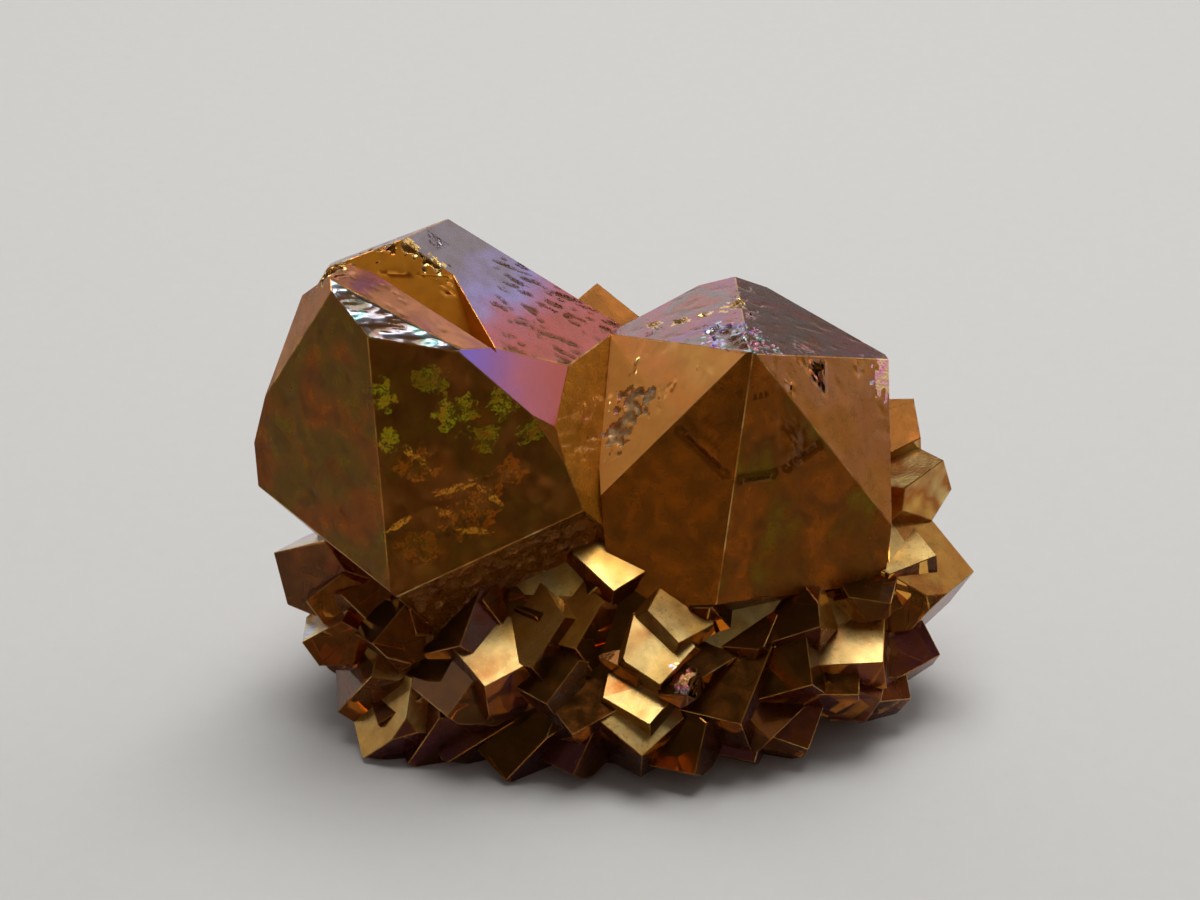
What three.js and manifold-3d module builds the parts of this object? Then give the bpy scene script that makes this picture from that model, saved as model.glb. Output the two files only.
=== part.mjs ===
// Aura quartz cluster: two large quartz points grown together out of a crust of small points.
// Millimetres, +Z up. The best side faces -Y and the cluster rests on a flat cut face at z = 0.
// A bearing is measured in degrees from -Y towards +X, and a rise in degrees above level.

import * as THREE from 'three';
import { mergeVertices } from 'three/addons/utils/BufferGeometryUtils.js';
import Module from 'manifold-3d';

// Driving dimensions

const CRUST_CENTRE_X = 1;
const CRUST_HALF_WIDTH = 18;
const CRUST_HALF_DEPTH = 12;
const CRUST_WIDEST_AT = 6;
const CRUST_DEEPEST_AT = 3;
const CRUST_BULGE = 6;
const CRUST_NARROWING_X = 3.5;
const CRUST_NARROWING_Y = 3.2;

const ROCK_INSET = 3;
const ROCK_TOP = 11;
const ROCK_SIDES = 18;
const ROCK_LAYERS = 5;

// The angle between a quartz point's axis and the normals of its tip faces.
const TIP_FACE_ANGLE = 51.8;
const POINT_TAPER = 0.94;
const CRUST_POINT_SCALE = 1.14;
const POINT_LENGTH_PER_WIDTH = 2.3;
const MAIN_FACE_SCATTER = 0.1;
const MINOR_FACE_SETBACK = 0.32;
// One tip face of a small point, its upper one, is larger than the others.
const LARGE_FACE = 3;
const LARGE_FACE_DEPTH = [0.1, 0.34];

// The block that a large point is cut from, and the larger block that cuts it.
const RAW_BLOCK = 50;
const SPACE = 120;

// Edges shorter than this are welded away where facets cross.
const WELD = 0.006;
const SAME_PLACE = 1e-5;

// A large point is a centre and its facets, each [bearing, rise, reach from the centre].
const LEFT_CENTRE = [-9, 0, 15];
const LEFT_SIDES = {
  frontRight: [13, 10, 6.6],
  frontLeft: [-40, 5, 6.8],
  left: [-69, 21, 8.8],
  backLeft: [-148, 6, 3.9],
  sideLeft: [-125, 15, 6.3],
  sideLeftLow: [-125, -8, 6.3],
  right: [66, 20, 8.5],
  smoothCheek: [52, 37, 8.2],
  lowCheek: [35, 21, 8.1],
  lowFront: [23, -18, 8.1],
  under: [-10, -35, 9.9],
  underLeft: [-55, -40, 7.5],
  foot: [0, -90, 11],
};
const LEFT_FRONT_TOP = {
  ledge: [73, 64, 8.2],
  chip: [34, 56, 9.1],
  topLeft: [-120, 50, 9.6],
  groove: [139, 35, 3.6],
};
const LEFT_BACK_TOP = {
  topRight: [71, 53, 8.3],
  crest: [-134, 63, 10.3],
  crestLeft: [-100, 30, 8.9],
  backRight: [165, 23, 8],
  back: [180, 12, 6.3],
};
// The notch is the wedge of space beyond both of these planes.
const LEFT_NOTCH = {
  farWall: [26, 34, 5.8],
  rightWall: [-57, 1, -1.1],
};

const RIGHT_CENTRE = [8, 0, 14];
const RIGHT_FACETS = {
  frontRight: [26, 5, 5.2],
  frontLeft: [-22, 11, 6.5],
  right: [54, 22, 5.7],
  left: [-62, 34, 7.2],
  topRight: [109, 67, 6.9],
  topLeft: [-112, 72, 7.6],
  sideRight: [100, -6, 6.8],
  underRight: [20, -40, 7.8],
  underLeft: [-30, -40, 9.5],
  back: [180, 15, 8.6],
  backRight: [140, 15, 7.5],
  backLeft: [-140, 10, 8.3],
  sideLeft: [-90, -5, 8],
  foot: [0, -90, 10],
};

// Points that stand by themselves, each { tip, bearing, rise, roll, width }.
const LONE_POINTS = [
  { tip: [0, 7, 21.5], bearing: 170, rise: 72, roll: 20, width: 5.4 },
  { tip: [18.2, 1.6, 13.6], bearing: 78, rise: 48, roll: 10, width: 4.6 },
  { tip: [16.8, 5.2, 15], bearing: 110, rise: 55, roll: 40, width: 3.8 },
  { tip: [-6.5, 11.4, 17], bearing: 192, rise: 48, roll: 0, width: 6.4 },
  { tip: [8.5, 12, 15], bearing: 168, rise: 42, roll: 30, width: 6 },
  { tip: [-13.5, 7.5, 15.5], bearing: 222, rise: 46, roll: 15, width: 4.8 },
  { tip: [15.2, 8.8, 11.5], bearing: 132, rise: 38, roll: 50, width: 4.6 },
  { tip: [1.6, 12.6, 12], bearing: 180, rise: 30, roll: 10, width: 4.4 },
];

// The small points of the crust on the best side,
// each [bearing, tip height, stand out, rise, roll, width before scaling].
const FRONT_POINTS = [
  [-90, 9, 2.1, 20, 25, 5.4],
  [-68, 5.6, 0.4, 8, 20, 3.4],
  [-48, 7, 0.2, 14, 40, 4],
  [-30, 8.2, 0.5, 20, 55, 4.4],
  [-16, 7.6, 0.2, 12, 30, 4.2],
  [-9, 8.4, 0.4, 18, 30, 4.2],
  [-1, 10.6, 0.8, 14, -6, 4.4],
  [10, 8.2, 0.2, 14, -15, 3.6],
  [7, 6.9, 0.3, 6, 5, 3.4],
  [47, 7.4, 1, 26, 18, 5.4],
  [54, 9.2, 0.6, 30, 0, 2.8],
  [70, 4.8, 0.8, 10, 40, 4.4],
  [64, 2.4, 0.6, 0, 20, 3.8],
  [86, 7.8, 1.9, 12, 28, 5.4],
  [-22, 6.6, 0.6, 15, 0, 5],
  [-50, 2.8, 0.6, 2, 12, 4.4],
  [-62, 2.2, 1.2, -12, 25, 4.6],
  [-54, 0.6, 2.2, -16, 10, 4.6],
  [-46, 0.2, 1.6, -18, 30, 5],
  [-8, 4.8, 0.2, 4, -10, 4],
  [5, 5.4, 0.3, 10, 8, 4],
  [10, 6.6, 0.4, 25, 30, 2],
  [19, 5, 0.2, 8, 22, 6.2],
  [32, 6, 0.2, 14, 48, 4.2],
  [-37, 1.8, 0.6, -8, 5, 5.6],
  [-23, 0.6, 0.6, -16, 15, 5],
  [-12, 1.8, 0, -8, 35, 4.6],
  [3, 3.2, 0.3, 2, 0, 4.6],
  [13, 1.8, 0.2, -10, 40, 3.6],
  [37, 2.2, 0.8, -6, 10, 6.8],
  [25, 1.6, 0.2, -12, 30, 5],
  [-32, 4.2, 0.2, 0, 30, 4.6],
  [-78, 4, 0.2, 0, 10, 4.6],
  [-42, 9.2, -0.4, 40, 20, 3.6],
  [24, 8.4, -0.2, 28, 20, 4],
  [35, 8.4, 0, 26, 42, 3.6],
  [80, 2, 0.2, -8, 30, 4.6],
  [76, 9.6, 0.6, 34, 15, 4.2],
  [51, 4.2, 0.4, 4, 0, 4.4],
  [-90, 2, 0.2, -10, 0, 4.6],
  [-64, 9, -0.2, 36, 30, 3.8],
  [-16, 9.6, -0.5, 38, 10, 3.6],
  [-26, 9.5, -0.4, 34, 40, 3.6],
  [-7, 10.2, -0.7, 36, 70, 3.2],
  [16, 9.5, -0.4, 38, 20, 3.4],
  [2, 7.6, -0.2, 18, 12, 4],
  [14, 7.2, -0.2, 16, -14, 3.8],
  [-13, 6, 0.2, 6, 22, 3.6],
  [28, 3.8, 0.3, 2, -20, 4],
  [44, 4.6, 0.2, 8, 25, 3.8],
  [-70, 7.4, 0.3, 12, 35, 3.6],
];

// The crust on the other sides is laid in rows, { height, rise, step }, with scatter.
const BACK_START = 98;
const BACK_END = 262;
const BACK_ROWS = [
  { height: 1.6, rise: -8, step: 15 },
  { height: 4.6, rise: 6, step: 13 },
  { height: 7.4, rise: 20, step: 14 },
  { height: 9.8, rise: 36, step: 17 },
];
const BACK_WIDTH = [3.4, 5.4];
const BACK_HEIGHT_SCATTER = 0.8;
const BACK_BEARING_SCATTER = 5;
const BACK_RISE_SCATTER = 9;
const BACK_STAND_OUT = 0.7;
const BACK_ROLL = 30;
const BACK_SEED = 11;

const COLOUR = 0x9a5a1c;

// Solids

const wasm = await Module();
wasm.setup();
const UP = new THREE.Vector3(0, 0, 1);

function solidFrom(geometry) {
  geometry.deleteAttribute('normal');
  geometry.deleteAttribute('uv');
  const merged = mergeVertices(geometry, SAME_PLACE);
  return new wasm.Manifold(new wasm.Mesh({
    numProp: 3,
    vertProperties: new Float32Array(merged.attributes.position.array),
    triVerts: new Uint32Array(merged.index.array),
    tolerance: WELD,
  }));
}

function geometryFrom(solid) {
  const mesh = solid.getMesh();
  const geometry = new THREE.BufferGeometry();
  geometry.setAttribute('position', new THREE.BufferAttribute(mesh.vertProperties, 3));
  geometry.setIndex(new THREE.BufferAttribute(mesh.triVerts, 1));
  return geometry;
}

function heading(bearing, rise) {
  const turn = THREE.MathUtils.degToRad(bearing);
  const lift = THREE.MathUtils.degToRad(rise);
  return new THREE.Vector3(
    Math.sin(turn) * Math.cos(lift),
    -Math.cos(turn) * Math.cos(lift),
    Math.sin(lift),
  );
}

// All the space beyond the plane that lies at a reach along a direction from a centre.
function spaceBeyond(direction, reach, centre) {
  const block = new THREE.BoxGeometry(SPACE, SPACE, SPACE);
  block.translate(0, 0, SPACE / 2 + reach);
  block.applyQuaternion(new THREE.Quaternion().setFromUnitVectors(UP, direction));
  block.translate(...centre);
  return solidFrom(block);
}

function insideFacets(facets, centre) {
  const block = new THREE.BoxGeometry(RAW_BLOCK, RAW_BLOCK, RAW_BLOCK);
  block.translate(...centre);
  let solid = solidFrom(block);
  for (const [bearing, rise, reach] of Object.values(facets)) {
    solid = solid.subtract(spaceBeyond(heading(bearing, rise), reach, centre));
  }
  return solid;
}

function leftPoint() {
  const front = insideFacets({ ...LEFT_SIDES, ...LEFT_FRONT_TOP }, LEFT_CENTRE);
  const back = insideFacets({ ...LEFT_SIDES, ...LEFT_BACK_TOP }, LEFT_CENTRE);
  const [farWall, rightWall] = Object.values(LEFT_NOTCH).map(
    ([bearing, rise, reach]) => spaceBeyond(heading(bearing, rise), reach, LEFT_CENTRE),
  );
  return back.subtract(farWall.intersect(rightWall)).add(front);
}

function rightPoint() {
  return insideFacets(RIGHT_FACETS, RIGHT_CENTRE);
}

// A six-sided quartz point: a tapering prism under three main and three set-back tip faces.
function smallPoint({ tip, bearing, rise, roll, width }) {
  const radius = width / Math.sqrt(3);
  const length = width * POINT_LENGTH_PER_WIDTH;
  const prism = new THREE.CylinderGeometry(POINT_TAPER * radius, radius, length, 6, 1, false, Math.PI / 6);
  prism.rotateX(Math.PI / 2);
  prism.translate(0, 0, -length / 2);
  let solid = solidFrom(prism);
  for (let face = 0; face < 6; face++) {
    const main = face % 2 === 1;
    const scatter = THREE.MathUtils.seededRandom() * width;
    let reach = main ? -MAIN_FACE_SCATTER * scatter : MINOR_FACE_SETBACK * scatter;
    if (face === LARGE_FACE) {
      reach = -width * THREE.MathUtils.lerp(...LARGE_FACE_DEPTH, THREE.MathUtils.seededRandom());
    }
    const direction = heading(60 * face, 90 - TIP_FACE_ANGLE);
    solid = solid.subtract(spaceBeyond(direction, reach, [0, 0, 0]));
  }
  const axis = heading(bearing, rise);
  const upright = UP.clone().addScaledVector(axis, -UP.dot(axis)).normalize();
  const across = new THREE.Vector3().crossVectors(upright, axis);
  const pose = new THREE.Matrix4().makeBasis(across, upright, axis);
  const spin = new THREE.Matrix4().makeRotationZ(THREE.MathUtils.degToRad(roll));
  const geometry = geometryFrom(solid);
  geometry.applyMatrix4(pose.multiply(spin));
  geometry.translate(...tip);
  return solidFrom(geometry);
}

function crustHalfWidth(height) {
  return CRUST_HALF_WIDTH - CRUST_NARROWING_X * ((height - CRUST_WIDEST_AT) / CRUST_BULGE) ** 2;
}

function crustHalfDepth(height) {
  return CRUST_HALF_DEPTH - CRUST_NARROWING_Y * ((height - CRUST_DEEPEST_AT) / CRUST_BULGE) ** 2;
}

// A small point with its tip on the crust's outer surface, pointing straight out from it.
function crustPoint([bearing, height, standOut, rise, roll, girth]) {
  const width = CRUST_POINT_SCALE * girth;
  const outward = heading(bearing, 0);
  const halfWidth = crustHalfWidth(height);
  const halfDepth = crustHalfDepth(height);
  const normal = new THREE.Vector3(outward.x / halfWidth, outward.y / halfDepth, 0).normalize();
  const tip = new THREE.Vector3(outward.x * halfWidth, outward.y * halfDepth, height);
  tip.addScaledVector(normal, standOut);
  return smallPoint({
    tip: [tip.x + CRUST_CENTRE_X, tip.y, tip.z],
    bearing: THREE.MathUtils.radToDeg(Math.atan2(normal.x, -normal.y)),
    rise,
    roll,
    width,
  });
}

function scattered(middle, range) {
  return middle + range * (2 * THREE.MathUtils.seededRandom() - 1);
}

function backCrust() {
  const points = [];
  for (const { height, rise, step } of BACK_ROWS) {
    for (let bearing = BACK_START; bearing < BACK_END; bearing += step) {
      points.push(crustPoint([
        scattered(bearing, BACK_BEARING_SCATTER),
        scattered(height, BACK_HEIGHT_SCATTER),
        scattered(0, BACK_STAND_OUT),
        scattered(rise, BACK_RISE_SCATTER),
        scattered(BACK_ROLL, BACK_ROLL),
        THREE.MathUtils.lerp(...BACK_WIDTH, THREE.MathUtils.seededRandom()),
      ]));
    }
  }
  return points;
}

// The massive quartz inside the crust, which every point grows out of.
function rock() {
  const outline = [new THREE.Vector2(0, -1)];
  for (let layer = 0; layer <= ROCK_LAYERS; layer++) {
    const height = ROCK_TOP * layer / ROCK_LAYERS - (layer === 0 ? 1 : 0);
    outline.push(new THREE.Vector2(crustHalfWidth(height) - ROCK_INSET, height));
  }
  outline.push(new THREE.Vector2(0, ROCK_TOP));
  const lump = new THREE.LatheGeometry(outline, ROCK_SIDES);
  lump.rotateX(Math.PI / 2);
  const position = lump.attributes.position;
  for (let i = 0; i < position.count; i++) {
    const height = position.getZ(i);
    const squeeze = (crustHalfDepth(height) - ROCK_INSET) / (crustHalfWidth(height) - ROCK_INSET);
    position.setY(i, position.getY(i) * squeeze);
  }
  lump.translate(CRUST_CENTRE_X, 0, 0);
  return solidFrom(lump);
}

function cluster() {
  THREE.MathUtils.seededRandom(BACK_SEED);
  const points = [...LONE_POINTS.map(smallPoint), ...FRONT_POINTS.map(crustPoint), ...backCrust()];
  const grown = [rock(), leftPoint(), rightPoint(), ...points].reduce((sum, solid) => sum.add(solid));
  const rested = grown.subtract(spaceBeyond(UP.clone().negate(), 0, [0, 0, 0]));
  const geometry = geometryFrom(rested);
  geometry.computeBoundingBox();
  const middle = geometry.boundingBox.getCenter(new THREE.Vector3());
  geometry.translate(-middle.x, -middle.y, 0);
  return geometry;
}

const quartz = new THREE.MeshStandardMaterial({ color: COLOUR, roughness: 0.12, metalness: 0.1 });
const mesh = new THREE.Mesh(cluster(), quartz);
mesh.name = 'quartz_cluster';

const group = new THREE.Group();
group.add(mesh);

export default group;
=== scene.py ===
import math
import random

import bmesh
import bpy
from bpy.props import FloatProperty, FloatVectorProperty, PointerProperty
from mathutils import Matrix, Vector, noise


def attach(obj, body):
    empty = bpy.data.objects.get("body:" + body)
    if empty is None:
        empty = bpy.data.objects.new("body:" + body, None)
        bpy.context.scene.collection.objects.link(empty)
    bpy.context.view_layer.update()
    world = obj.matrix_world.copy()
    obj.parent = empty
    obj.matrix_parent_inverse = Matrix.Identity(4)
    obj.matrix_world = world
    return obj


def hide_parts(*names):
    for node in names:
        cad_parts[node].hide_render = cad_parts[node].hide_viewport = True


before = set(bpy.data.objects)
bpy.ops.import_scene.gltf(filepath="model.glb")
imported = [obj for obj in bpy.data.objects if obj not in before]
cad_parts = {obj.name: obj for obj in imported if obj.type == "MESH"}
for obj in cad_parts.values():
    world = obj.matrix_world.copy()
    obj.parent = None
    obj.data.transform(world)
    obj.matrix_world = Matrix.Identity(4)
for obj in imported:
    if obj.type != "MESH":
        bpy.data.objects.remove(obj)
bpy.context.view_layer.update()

bl_info = {
    "name": "Aura Quartz Cluster",
    "version": (1, 0, 0),
    "blender": (4, 5, 0),
    "location": "View3D > Sidebar > Quartz",
    "description": "A cluster of metal-coated quartz points, its inner veils and its stage",
    "category": "Add Mesh",
}

# Sizes

MM = 0.001
PER_METRE = 1000.0
BODY = "root"
NODE = "quartz_cluster"

# Two facets are the same plane when they agree this well.
SAME_WAY = math.cos(math.radians(1.5))
SAME_PLANE = 0.06 * MM

# Vertices of the solid closer than this are merged, edges shorter than this are closed up,
# and facets flatter than this are joined.
MERGE = 0.002 * MM
SLIVER = 0.02 * MM
FLAT = math.radians(0.5)

# Edges at least this long and this sharp are worn, and their worn line takes a painted gold highlight.
WORN_LENGTH = 0.5 * MM
WORN_ANGLE = math.radians(18.0)

# The large points

# Each facet is its bearing from the front and its rise above level, in degrees,
# its reach from the point's centre in millimetres, and its finish.
LEFT_CENTRE = Vector((-0.00997, -0.0005, 0.015))
LEFT_FACETS = (
    (13, 10, 6.6, "smoky_front"),
    (-40, 5, 6.8, "moss_front"),
    (-69, 21, 8.8, "rose_side"),
    (-125, 15, 6.3, "rose_side"),
    (66, 20, 8.5, "tan_side"),
    (52, 37, 8.2, "lilac_cheek"),
    (35, 21, 8.1, "salmon_cheek"),
    (23, -18, 8.1, "ragged_band"),
    (-10, -35, 9.9, "ragged_band"),
    (73, 64, 8.2, "rose_ledge"),
    (34, 56, 9.1, "silver_chip"),
    (-120, 50, 9.6, "rose_ledge"),
    (139, 35, 3.6, "amber_window"),
    (71, 53, 8.3, "violet_etched"),
    (-134, 63, 10.3, "mauve_top"),
    (-100, 30, 8.9, "rose_side"),
    (165, 23, 8.0, "mauve_top"),
    (-148, 6, 3.9, "moss_back"),
    (-125, -8, 6.3, "moss_back"),
    (180, 12, 6.3, "olive_front"),
    (26, 34, 5.8, "amber_window"),
    (-57, 1, -1.1, "amber_window"),
)
RIGHT_CENTRE = Vector((0.00703, -0.0005, 0.014))
RIGHT_FACETS = (
    (26, 5, 5.2, "umber_front"),
    (-22, 11, 6.5, "rust_front"),
    (54, 22, 5.7, "rose_side"),
    (-62, 34, 7.2, "pale_side"),
    (109, 67, 6.9, "mauve_top"),
    (-112, 72, 7.6, "mauve_top"),
    (100, -6, 6.8, "tan_side"),
    (180, 15, 8.6, "olive_front"),
    (140, 15, 7.5, "tan_side"),
    (-140, 10, 8.3, "olive_front"),
)
LARGE_POINTS = ((LEFT_CENTRE, LEFT_FACETS), (RIGHT_CENTRE, RIGHT_FACETS))

# A small point's facet takes its finish from the rise of its normal in degrees, and a share of the
# upper ones are gold. Facets that face down take the dark plum finish, painted shade. A facet that looks
# straight down is the cut base.
SMALL_UP = 24
SMALL_LEVEL = -12
BASE_RISE = -89
GOLD_SHARE = 0.22

# The crust is painted darker below these heights left and right of this place, as painted shade on the low
# crust.
DARK_RIGHT = 4.0 * MM
DARK_BELOW_LEFT = 2.6 * MM
DARK_BELOW_RIGHT = 4.6 * MM

# Small places with a finish of their own: the finish, the middle and the radius in millimetres,
# and the least rise of the faces that take it.
SPOTS = (
    ("apex_chip", (6.2, -3.7, 22.0), 1.6, 40),
    ("apex_chip", (5.3, -1.7, 21.6), 1.0, 50),
    ("gold_ridge", (6.0, 1.9, 21.4), 0.6, 50),
    ("gold_ridge", (3.2, 1.7, 20.6), 0.4, 50),
    ("gold_ridge", (4.4, 1.7, 20.9), 0.4, 50),
    ("gold_ridge", (1.8, 2.3, 20.1), 0.4, 50),
    # The chipped groove: real crumbled relief, with painted sparkle highlights.
    ("bright_chip", (0.6, -1.9, 17.4), 1.0, -90),
    ("bright_chip", (0.0, -2.5, 16.2), 0.9, -90),
    ("bright_chip", (1.6, -2.4, 18.2), 0.5, -90),
    ("gold_ridge", (2.9, -5.9, 17.8), 0.4, 20),
    ("rose_glint", (14.0, 1.1, 17.8), 1.1, -90),
    ("gold_ridge", (-14.7, -2.7, 25.4), 0.6, -90),
    ("gold_ridge", (-14.0, -2.0, 25.7), 0.5, -90),
    ("gold_ridge", (-12.9, -0.6, 25.8), 0.6, -90),
    ("gold_ridge", (-11.8, -0.8, 26.1), 0.5, -90),
    ("gold_ridge", (-10.5, -0.5, 25.8), 0.5, -90),
    ("gold_ridge", (-9.3, -0.6, 24.9), 0.5, -90),
    ("rose_glint", (3.2, -10.2, 6.3), 0.6, 20),
)

# Whole facets of small points with a finish of their own: the finish, the place near the facet's
# middle and the radius about it in millimetres.
KNOWN_FACETS = (
    # The gold point on the right: its gold is film colour, and its pale gold and pink paint its highlight.
    ("gold_lump", (16.0, 0.8, 11.4), 2.6),
    # Painted highlights: a silver film on the tips of two small points on the left.
    ("silver_tip", (-15.7, 0.7, 8.6), 0.6),
    ("silver_tip", (-15.5, -3.7, 5.9), 0.4),
    ("gold_point", (-0.2, -5.9, 10.4), 1.2),
    ("gold_point", (-6.0, -9.5, 6.7), 1.2),
    ("gold_point", (-3.0, -6.5, 8.7), 1.2),
    ("gold_point", (0.7, -9.9, 5.1), 1.2),
    ("gold_point", (12.7, -5.9, 6.4), 1.4),
    ("gold_point", (16.6, -1.2, 8.7), 1.4),
    ("gold_point", (2.0, -8.5, 7.8), 1.0),
    ("lilac_point", (-7.8, -7.8, 8.0), 1.0),
    ("lilac_point", (-2.3, -9.7, 5.8), 0.4),
)

# A spot's rim is ragged by this share of its radius, with this many rags to the millimetre.
# The faces within the reach, in radii, are first cut to the step.
SPOT_RAGGED = 1.1
SPOT_RAGS = 2.6
SPOT_REACH = 1.6
SPOT_STEP = 0.2 * MM
SPOT_BALLS = [(Vector(middle) * MM, SPOT_REACH * radius * MM) for finish, middle, radius, rise in SPOTS]

# The veils sealed in the left point, just behind its front facet: the finish, the place across and
# up the facet and the depth under it, the length and the height, all in millimetres, and the turn
# and the lean out of the facet's plane in degrees.
VEIL_FACET = LEFT_FACETS[0][:3]
VEILS = (
    ("green_veil", (-3.2, 4.4, 0.6), (1.7, 2.2), 15, 6),
    ("green_veil", (-0.6, 4.9, 0.7), (2.2, 1.9), -20, -8),
    ("green_veil", (0.6, 3.1, 0.6), (2.4, 2.0), 30, 5),
    ("green_veil", (1.8, 1.7, 0.5), (2.7, 1.6), -15, -6),
    ("green_veil", (3.1, 3.4, 0.6), (2.0, 2.0), 25, 8),
    ("green_veil", (4.3, 1.7, 0.5), (1.9, 1.5), 12, -5),
    ("green_veil", (-2.9, 2.0, 0.5), (1.2, 1.6), 5, 4),
    ("gold_veil", (-1.5, 0.9, 0.4), (2.4, 0.5), -48, 10),
    ("gold_veil", (0.3, -0.8, 0.4), (2.6, 0.5), 12, 8),
    ("gold_veil", (2.1, -1.4, 0.4), (1.9, 0.5), -42, 12),
    ("gold_veil", (-2.6, -2.4, 0.5), (1.8, 0.4), 25, 6),
    ("gold_veil", (1.2, -3.2, 0.4), (2.0, 0.4), -12, 9),
    ("gold_veil", (-0.6, -1.9, 0.4), (1.4, 0.4), -20, 5),
    ("ember_veil", (0.8, -2.4, 0.9), (3.6, 2.8), 20, 6),
    ("ember_veil", (-1.6, -3.8, 0.8), (2.8, 1.8), -15, -5),
    ("ember_veil", (2.8, -0.6, 0.9), (2.6, 2.0), 40, 8),
    ("ember_veil", (-1.4, 0.6, 1.0), (2.4, 2.2), -30, 4),
)

# A veil starts as a square sheet of this half width, cut into a grid. Its rim is torn off beyond a share
# of the half width, give or take the raggedness. The rags have a scale, a fall-off, a step in scale and
# a number of octaves, and each sheet's rags lie apart from the last one's.
VEIL_HALF = 0.5
VEIL_CUTS = 26
VEIL_RIM = 0.85
VEIL_RAGGED = 0.55
VEIL_RAGS = 4.0
VEIL_OCTAVES = (1.0, 2.0, 4)
VEIL_APART = 3.0

# The sheet then gets waves of this height, size and layers of detail, and this thickness,
# and is shaded smooth up to this angle.
VEIL_WAVE = 0.12 * MM
VEIL_WAVE_SIZE = 0.9 * MM
VEIL_WAVE_LAYERS = 2
VEIL_THICK = 0.012 * MM
VEIL_SMOOTH = math.radians(40.0)

# The colours across the film of each kind of veil, and its roughness.
VEIL_FILMS = {
    "green_veil": (("moss", "lime", "amber"), 0.35),
    "gold_veil": (("amber", "gold", "amber"), 0.3),
    "ember_veil": (("ember", "amber", "ember"), 0.4),
}

# The broad facets of the large points that take relief, to the front and back, and to the sides.
FRONTS = ("smoky_front", "olive_front", "umber_front", "rust_front", "moss_front")
SIDES = ("rose_side", "tan_side", "pale_side", "amber_window")

# The facets that are cut fine enough to take relief, and the longest edge left in them.
FINE_STEPS = (
    (("silver_chip",), 0.15 * MM),
    (("violet_etched",), 0.2 * MM),
    (("ragged_band", "rose_ledge", "mauve_top"), 0.28 * MM),
    (SIDES, 0.45 * MM),
    (FRONTS, 0.55 * MM),
)
FINE_ROUNDS = 9
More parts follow.
